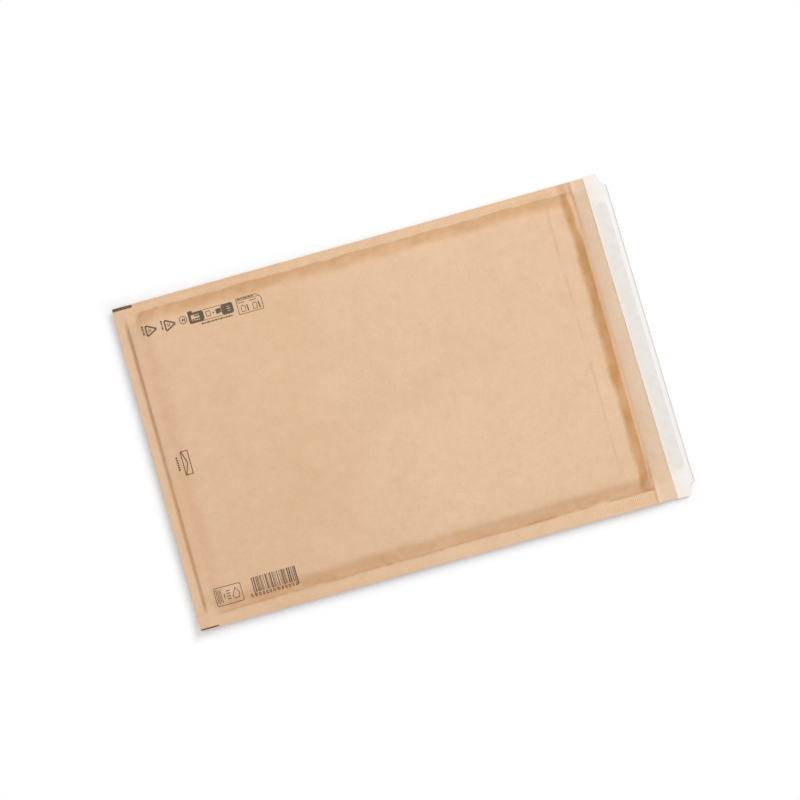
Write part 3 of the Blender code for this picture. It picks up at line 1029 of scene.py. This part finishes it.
def film_bubbles(points, upper):
    """Closed domes of one ply, from the flat skin out to the paper."""
    end = size.body_length - size.film_setback
    pitch = fine.bubble_pitch
    columns = np.arange(size.fold_margin + BUBBLE_INSET,
                        end + BUBBLE_OVERHANG * fine.bubble_radius, pitch * math.sqrt(3) / 2)
    centres = []
    for number, along in enumerate(columns):
        low = float(lower_seam_line(along)) + BUBBLE_INSET
        high = float(upper_seam_line(along)) - BUBBLE_INSET
        shift = pitch / 2 if number % 2 else 0.0
        centres += [(along, y) for y in np.arange(low + shift, high, pitch)]
    centres = np.array(centres)
    turn = np.linspace(0.0, 2 * np.pi, BUBBLE_SIDES, endpoint=False)
    chains = [dome_ring(points, centres, turn, radius, rise, upper)
              for radius, rise in BUBBLE_RINGS]
    tip = dome_ring(points, centres, turn[:1], 0.0, 1.0, upper)
    faces = []
    for low, high in zip(chains[:-1], chains[1:]):
        side = np.stack([low, np.roll(low, -1, axis=1), np.roll(high, -1, axis=1), high],
                        axis=-1)
        faces.append(side.reshape(-1, 4))
    top = chains[-1]
    cap = np.stack([top, np.roll(top, -1, axis=1), np.broadcast_to(tip, top.shape)], axis=-1)
    faces.append(cap.reshape(-1, 3))
    faces.append(chains[0][:, ::-1])
    return faces if upper else [group[:, ::-1] for group in faces]


class MAILER_OT_bubble_lining(bpy.types.Operator):
    """Make both plies of the bubble film inside the bag"""
    bl_idname = "mailer.bubble_lining"
    bl_label = "Bubble lining"

    def execute(self, context):
        points = PointList()
        faces = []
        for upper in (False, True):
            faces += film_sheet(points, upper)
            faces += film_bubbles(points, upper)
        film = mesh_piece("bubble_film", points.all(), faces, [film_look()])
        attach(film, "root")
        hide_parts("bubble_lining")
        return {"FINISHED"}


def liner_grid():
    """Distances from the fold, shares of the width and Y of the peel-off strip's points."""
    corner = fine.notch_width
    near = np.array([-fine.liner_proud, 0.0, 0.0015, 0.003, 0.0045, 0.006, 0.0075, 0.009,
                     0.0102, 0.011, corner - NOTCH_GAP, corner + NOTCH_GAP, 0.013, 0.016])
    middle = steps(-HALF_WIDTH + 0.019, HALF_WIDTH - 0.019, 0.0028)
    y = np.concatenate([near - HALF_WIDTH, middle, HALF_WIDTH - near[::-1]])[None]
    start = size.body_length + flap_length(y) - fine.liner_width
    reach = np.linspace(0.0, 1.0, 15)[:, None]
    y = np.repeat(y, reach.size, axis=0)
    return start + reach * (size.body_length + flap_end(y) - start), reach, y


class MAILER_OT_closure_strip(bpy.types.Operator):
    """Make the peel-off liner on the flap, and finish the glue band under it"""
    bl_idname = "mailer.closure_strip"
    bl_label = "Closure strip"

    def execute(self, context):
        curl_height, curl_waves, curl_reach = 0.00009, (0.021, 0.034, 0.057, 0.09), 0.03
        band_side, band_end = 0.0032, 0.005
        along, reach, y = liner_grid()
        draw = np.random.default_rng(fine.seed + 4)
        wave = sum(np.sin(2 * np.pi * y / step + draw.uniform(0.0, 2 * np.pi))
                   for step in curl_waves)
        edge = HALF_WIDTH + fine.liner_proud
        edge_share = np.abs(2 * reach - 1) ** 3
        curl = (curl_height * (wave + len(curl_waves)) / 2 * edge_share
                * fall(np.abs(y) - edge + curl_reach, curl_reach))
        from_centre = np.abs(reach - 0.5) * fine.liner_width - fine.adhesive_width / 2
        past_end = np.abs(y) - HALF_WIDTH + fine.adhesive_setback
        over_band = fall(from_centre, band_side) * fall(past_end, band_end)
        lift = fine.liner_float + over_band * (size.clearance + fine.adhesive)
        base = back_height(along, y) + size.paper + lift
        points = PointList()
        under = points.add(along, y, base + curl)
        over = points.add(along, y, base + curl + fine.liner)
        strip = mesh_piece("liner_strip", points.all(), slab_faces(under, over), [liner_look()])
        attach(strip, "root")
        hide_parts("release_liner")
        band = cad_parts["adhesive_strip"]
        band.data.materials.clear()
        band.data.materials.append(adhesive_look())
        return {"FINISHED"}


def circle(centre, radius, sides):
    turn = np.linspace(0.0, 2 * np.pi, sides, endpoint=False)
    return [(centre[0] + radius * math.cos(angle), centre[1] + radius * math.sin(angle))
            for angle in turn]


def rounded_box(left, top, right, bottom, radius, corners=(True, True, True, True)):
    """Outline of a box, clockwise on the bag, with the chosen corners rounded."""
    spots = []
    places = ((left, top, 1, 1, 180), (right, top, -1, 1, 270), (right, bottom, -1, -1, 0),
              (left, bottom, 1, -1, 90))
    for (x, y, side, down, start), rounded in zip(places, corners):
        if not rounded:
            spots.append((x, y))
            continue
        for turn in np.linspace(start, start + 90, 6):
            angle = math.radians(turn)
            spots.append((x + side * radius + radius * math.cos(angle),
                          y + down * radius + radius * math.sin(angle)))
    return spots


def shrunk(spots, centre, across, down):
    """An outline drawn in towards a centre."""
    return [(centre[0] + across * (x - centre[0]), centre[1] + down * (y - centre[1]))
            for x, y in spots]


class PrintSheet:
    """Flat shapes of the print, in millimetres from the fold and from the upper side."""

    def __init__(self):
        self.shapes = []

    def polygon(self, *spots):
        self.shapes.append([tuple(spot) for spot in spots])

    def boxes(self, *places):
        """Filled boxes, each given by its left, top, right and bottom."""
        for left, top, right, bottom in places:
            self.polygon((left, top), (right, top), (right, bottom), (left, bottom))

    def band(self, outer, inner):
        """The strip between two closed outlines of as many points."""
        for number in range(len(outer)):
            after = (number + 1) % len(outer)
            self.polygon(outer[number], outer[after], inner[after], inner[number])

    def outline(self, width, *spots):
        """A line of the given width inside a convex outline that runs clockwise on the bag."""
        spots = np.array(spots, float)
        before = np.roll(spots, 1, axis=0)
        after = np.roll(spots, -1, axis=0)
        first = (spots - before) / np.linalg.norm(spots - before, axis=1)[:, None]
        second = (after - spots) / np.linalg.norm(after - spots, axis=1)[:, None]
        left = np.stack([-first[:, 1], first[:, 0]], axis=1)
        right = np.stack([-second[:, 1], second[:, 0]], axis=1)
        mitre = (left + right) / (1 + np.sum(left * right, axis=1))[:, None]
        self.band(spots.tolist(), (spots + width * mitre).tolist())

    def dashes(self, left, right, top, bottom, widths, gap):
        """A row of short bars in place of a line of small print."""
        place = left
        number = 0
        while place + widths[number % len(widths)] <= right:
            width = widths[number % len(widths)]
            self.boxes((place, top, place + width, bottom))
            place += width + gap
            number += 1


def print_triangle(sheet, left, right, top, bottom):
    """A rounded triangle that points away from the fold, with plain marks in and by it."""
    rounding, line = 1.9, 1.35
    middle = (top + bottom) / 2
    corners = ((left, top), (right, middle), (left, bottom))
    spots = []
    for number, corner in enumerate(corners):
        for other in (corners[number - 1], corners[(number + 1) % 3]):
            away = math.dist(corner, other)
            spots.append([here + rounding * (there - here) / away
                          for here, there in zip(corner, other)])
    sheet.outline(line, *spots)
    sheet.boxes((left + 3.0, middle - 1.7, left + 3.8, middle + 1.7),
                (left + 4.7, middle - 1.3, left + 5.4, middle + 1.3))
    for start, stop in ((0.8, 2.6), (3.2, 4.8), (5.6, 6.4), (7.2, 9.6)):
        sheet.boxes((left - 3.2, top + start, left - 1.7, top + stop))


def print_roundel(sheet):
    """A ring with a plain leaf in it."""
    x, y = middle = (63.7, 28.4)
    radius, line, sides = 3.8, 0.55, 28
    sheet.band(circle(middle, radius, sides), circle(middle, radius - line, sides))
    sheet.polygon((x - 1.6, y + 0.6), (x - 0.4, y - 1.5), (x + 0.5, y - 0.4), (x - 0.3, y + 1.5))
    sheet.boxes((x + 0.9, y - 1.3, x + 1.9, y + 1.6))


def print_banner(sheet):
    """The long two-part banner with plain pictures, and the row of dashes under it."""
    left, right, top, bottom = 69.2, 113.2, 23.9, 34.3
    first_end, last_start, line = 82.4, 104.0, 0.45
    sheet.polygon(*rounded_box(left, top - 2.0, left + 4.6, top + 1.0, 0.7,
                               (True, True, False, False)))
    block = rounded_box(left, top, first_end, bottom, 1.8, (False, False, False, True))
    sheet.band(block, shrunk(block, (75.8, 29.1), 0.62, 0.55))
    sheet.boxes((left + 5.6, 26.9, 79.9, 28.2), (left + 5.6, 29.9, 79.9, 31.2))
    sheet.polygon(*circle((left + 4.2, 31.0), 0.9, 10))
    sheet.polygon((first_end, top), (84.2, 25.9), (84.2, 32.3), (first_end, bottom))
    sheet.polygon((101.6, 25.9), (103.2, top), (last_start, top), (last_start, bottom),
                  (103.2, bottom), (101.6, 32.3))
    block = rounded_box(last_start, top, right, bottom, 2.2, (False, True, True, False))
    sheet.band(block, shrunk(block, (108.6, 29.1), 0.42, 0.44))
    sheet.boxes((106.6, 27.3, 110.6, 28.7), (106.6, 29.5, 110.6, 30.9),
                (first_end, top, last_start, top + line),
                (first_end, bottom - line, last_start, bottom))
    sheet.outline(0.5, (86.2, 26.6), (90.4, 26.0), (91.0, 31.2), (86.8, 31.8))
    sheet.boxes((92.9, 28.6, 94.3, 29.9))
    sheet.polygon((96.0, 26.9), (101.0, 26.3), (101.2, 30.9), (96.2, 31.5))
    sheet.dashes(80.0, 111.8, 36.1, 37.3, (2.6, 1.4, 3.4, 0.9, 2.0), 0.55)


def print_bin_box(sheet):
    """The outlined box with a cut corner and two plain bins with a figure by each."""
    left, top, right, bottom = 117.0, 22.4, 141.6, 38.4
    line, cut = 0.5, 4.2
    sheet.outline(line, (left, top), (right - cut, top), (right, top + cut), (right, bottom),
                  (left, bottom))
    sheet.boxes((left + line, 24.9, right - 2.6, 25.25))
    sheet.dashes(left + 1.4, right - 5.4, 23.3, 24.3, (3.0, 1.8, 3.8), 0.6)
    for start in (120.2, 131.6):
        sheet.dashes(start - 1.6, start + 6.4, 26.9, 27.7, (1.8, 1.1, 2.2), 0.5)
        sheet.outline(line, (start, 31.0), (start + 2.0, 29.9), (start + 4.4, 31.0),
                      (start + 4.4, 36.4), (start, 36.4))
        sheet.polygon((start + 5.6, 30.2), (start + 6.6, 30.2), (start + 7.3, 36.6),
                      (start + 6.2, 36.6))


def print_middle_mark(sheet):
    """A plain envelope picture midway down the fold, with dots beside it."""
    left, right, top, bottom = 26.4, 34.3, 148.8, 172.4
    line, tip = 0.8, left + 4.3
    middle = (top + bottom) / 2
    sheet.outline(line, (left, top), (right, top), (right, bottom), (left, bottom))
    sheet.polygon((left + line, top + line), (left + 1.7, top + line), (tip + 1.0, middle),
                  (tip, middle))
    sheet.polygon((tip, middle), (tip + 1.0, middle), (left + 1.7, bottom - line),
                  (left + line, bottom - line))
    for number in range(6):
        sheet.boxes((20.9, 153.4 + 2.3 * number, 22.7, 154.9 + 2.3 * number))


def print_care_box(sheet):
    """The framed box near the lower seam, with rows of dashes and a plain drop."""
    left, top, right, bottom = 21.6, 284.0, 48.6, 302.2
    dash, dash_step = 1.3, 1.9
    sheet.outline(0.55, *rounded_box(left, top, right, bottom, 2.2))
    for number, (place, stop) in enumerate(((286.0, 299.8), (285.8, 300.4), (287.0, 299.0),
                                            (286.4, 300.0))):
        column = left + 1.7 + 1.5 * number
        while place + dash <= stop:
            sheet.boxes((column, place, column + 0.75, place + dash))
            place += dash_step
    sheet.boxes((30.6, 291.2, 31.4, 295.6))
    for number in range(4):
        sheet.boxes((33.4, 288.6 + 2.6 * number, 37.0, 289.4 + 2.6 * number))
    sheet.outline(0.6, (38.6, 295.2), (42.6, 287.2), (46.2, 293.0), (45.0, 297.6),
                  (40.8, 298.6))


def print_bar_code(sheet, seed):
    """Bars of random widths that code nothing, with small blocks where figures stand."""
    left, top, bottom, guard = 59.6, 283.0, 297.7, 301.0
    modules, total_width, bar_share = 95, 44.2, 0.84
    module = total_width / modules
    draw = np.random.default_rng(seed)
    place = 0
    while place < modules:
        width, gap = (int(value) for value in draw.choice((1, 1, 2, 2, 3), 2))
        width = min(width, modules - place)
        end = guard if place < 3 or 44 < place < 50 or place > 90 else bottom
        start = left + place * module
        sheet.boxes((start, top, start + bar_share * width * module, end))
        place += width + gap
    for number in range(13):
        start = 55.6 + number * 3.5 + (0.9 if number else 0.0) + (1.2 if number > 6 else 0.0)
        sheet.outline(0.55, (start, 298.8), (start + 1.9, 298.8), (start + 1.9, 301.8),
                      (start, 301.8))


def cut_grid(work, cell):
    """Cuts the flat shapes along a square grid, so that they can follow the paper."""
    for axis in (0, 1):
        values = [vert.co[axis] for vert in work.verts]
        for place in np.arange(min(values) + cell, max(values), cell):
            spot, normal = Vector((0.0, 0.0, 0.0)), Vector((0.0, 0.0, 0.0))
            spot[axis] = place
            normal[axis] = 1.0
            bmesh.ops.bisect_plane(work, geom=work.verts[:] + work.edges[:] + work.faces[:],
                                   plane_co=spot, plane_no=normal)


def lay_ink(sheet, bag, height):
    """Turns the flat shapes into thin ink that lies on the paper."""
    cell, ray_start, ink_share = 0.0015, 0.1, 0.8
    work = bmesh.new()
    for shape in sheet.shapes:
        work.faces.new([work.verts.new((FOLD_X + x * MM, HALF_WIDTH - y * MM, 0.0))
                        for x, y in shape])
    bmesh.ops.triangulate(work, faces=work.faces[:])
    bmesh.ops.recalc_face_normals(work, faces=work.faces[:])
    bmesh.ops.reverse_faces(work, faces=[face for face in work.faces if face.normal.z < 0])
    cut_grid(work, cell)
    paper = BVHTree.FromObject(bag, bpy.context.evaluated_depsgraph_get())
    for vert in work.verts:
        hit = paper.ray_cast(Vector((vert.co.x, vert.co.y, ray_start)), Vector((0.0, 0.0, -1.0)))
        if hit[0] is None:
            raise RuntimeError("a mark of the print lies outside the paper")
        vert.co.z = hit[0].z + height
    mesh = bpy.data.meshes.new("front_print")
    work.to_mesh(mesh)
    work.free()
    mesh.materials.append(ink_look())
    piece = link_object("front_print", mesh)
    body = piece.modifiers.new("ink", "SOLIDIFY")
    body.thickness = height * ink_share
    body.offset = -1.0
    return piece


class MAILER_OT_front_print(bpy.types.Operator):
    """Make the plain marks that are printed on the front panel"""
    bl_idname = "mailer.front_print"
    bl_label = "Front print"

    def execute(self, context):
        sheet = PrintSheet()
        sheet.boxes((0.25, 0.25, 18.6, 3.1), (18.2, 1.0, 19.6, 2.2), (0.25, 318.4, 17.6, 319.75))
        print_triangle(sheet, 26.2, 38.8, 22.9, 35.9)
        print_triangle(sheet, 45.2, 57.6, 22.7, 35.7)
        print_roundel(sheet)
        print_banner(sheet)
        print_bin_box(sheet)
        print_middle_mark(sheet)
        print_care_box(sheet)
        print_bar_code(sheet, fine.seed + 5)
        piece = lay_ink(sheet, bpy.data.objects["kraft_bag"], fine.ink)
        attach(piece, "root")
        return {"FINISHED"}


def area_lamp(name, power, width, place):
    """A soft square lamp that faces the mailer."""
    lamp = bpy.data.lights.new(name, "AREA")
    lamp.energy = power
    lamp.size = width
    made = link_object(name, lamp)
    made.location = place
    made.rotation_euler = (-Vector(place)).to_track_quat("-Z", "Y").to_euler()
    made.visible_camera = False


def white_world(level):
    """Even light from all round, in front of a white background."""
    world = bpy.data.worlds.new("white_room")
    world.use_nodes = True
    nodes = Nodes(world.node_tree)
    fill = world.node_tree.nodes["Background"]
    nodes.feed(fill.inputs["Color"], WHITE)
    nodes.feed(fill.inputs["Strength"], level)
    nodes.show_white(nodes.seen_by("Camera", "Transmission"), fill, "ShaderNodeBackground",
                     "World Output")
    bpy.context.scene.world = world


class MAILER_OT_stage(bpy.types.Operator):
    """Make the floor, the lamps and the camera straight above the mailer"""
    bl_idname = "mailer.stage"
    bl_label = "Stage"

    def execute(self, context):
        floor_size, floor_gap, view_level = 8.0, 0.0002, 0.006
        bpy.ops.mesh.primitive_plane_add(size=floor_size, location=(0.0, 0.0, -floor_gap))
        ground = context.object
        ground.name = "floor"
        ground.data.materials.append(floor_look())
        area_lamp("overhead_lamp", stage.overhead, 3.0, (0.0, 0.0, 3.0))
        area_lamp("side_lamp", stage.side, 2.0, (2.12, 1.66, 1.68))
        white_world(stage.sky)
        view = bpy.data.cameras.new("camera")
        view.lens = stage.lens
        view.sensor_width = 36.0
        distance = stage.view_width * stage.lens / view.sensor_width
        camera = link_object("camera", view)
        camera.location = (stage.view_x, stage.view_y, distance + view_level)
        camera.rotation_euler = (0.0, 0.0, stage.view_turn)
        context.scene.camera = camera
        context.scene.view_settings.view_transform = "Standard"
        return {"FINISHED"}


PIECES = (MAILER_OT_paper_bag, MAILER_OT_seam_crimps, MAILER_OT_bubble_lining,
          MAILER_OT_closure_strip, MAILER_OT_front_print, MAILER_OT_stage)


class MAILER_PT_pieces(bpy.types.Panel):
    """Lists the pieces of the mailer and the settings"""
    bl_label = "Padded mailer"
    bl_idname = "MAILER_PT_pieces"
    bl_space_type = "VIEW_3D"
    bl_region_type = "UI"
    bl_category = "Mailer"

    def draw(self, context):
        for piece in PIECES:
            self.layout.operator(piece.bl_idname)
        for group in GROUPS:
            settings = getattr(context.scene, group)
            box = self.layout.box()
            for key in settings.bl_rna.properties.keys():
                if key not in ("rna_type", "name"):
                    box.prop(settings, key)


def register():
    for name, group in GROUPS.items():
        bpy.utils.register_class(group)
        setattr(bpy.types.Scene, name, PointerProperty(type=group))
    for piece in PIECES:
        bpy.utils.register_class(piece)
    bpy.utils.register_class(MAILER_PT_pieces)


def unregister():
    bpy.utils.unregister_class(MAILER_PT_pieces)
    for piece in reversed(PIECES):
        bpy.utils.unregister_class(piece)
    for name, group in reversed(GROUPS.items()):
        delattr(bpy.types.Scene, name)
        bpy.utils.unregister_class(group)


def main():
    register()
    bpy.ops.mailer.paper_bag()
    bpy.ops.mailer.seam_crimps()
    bpy.ops.mailer.bubble_lining()
    bpy.ops.mailer.closure_strip()
    bpy.ops.mailer.front_print()
    bpy.ops.mailer.stage()


if __name__ == "__main__":
    main()
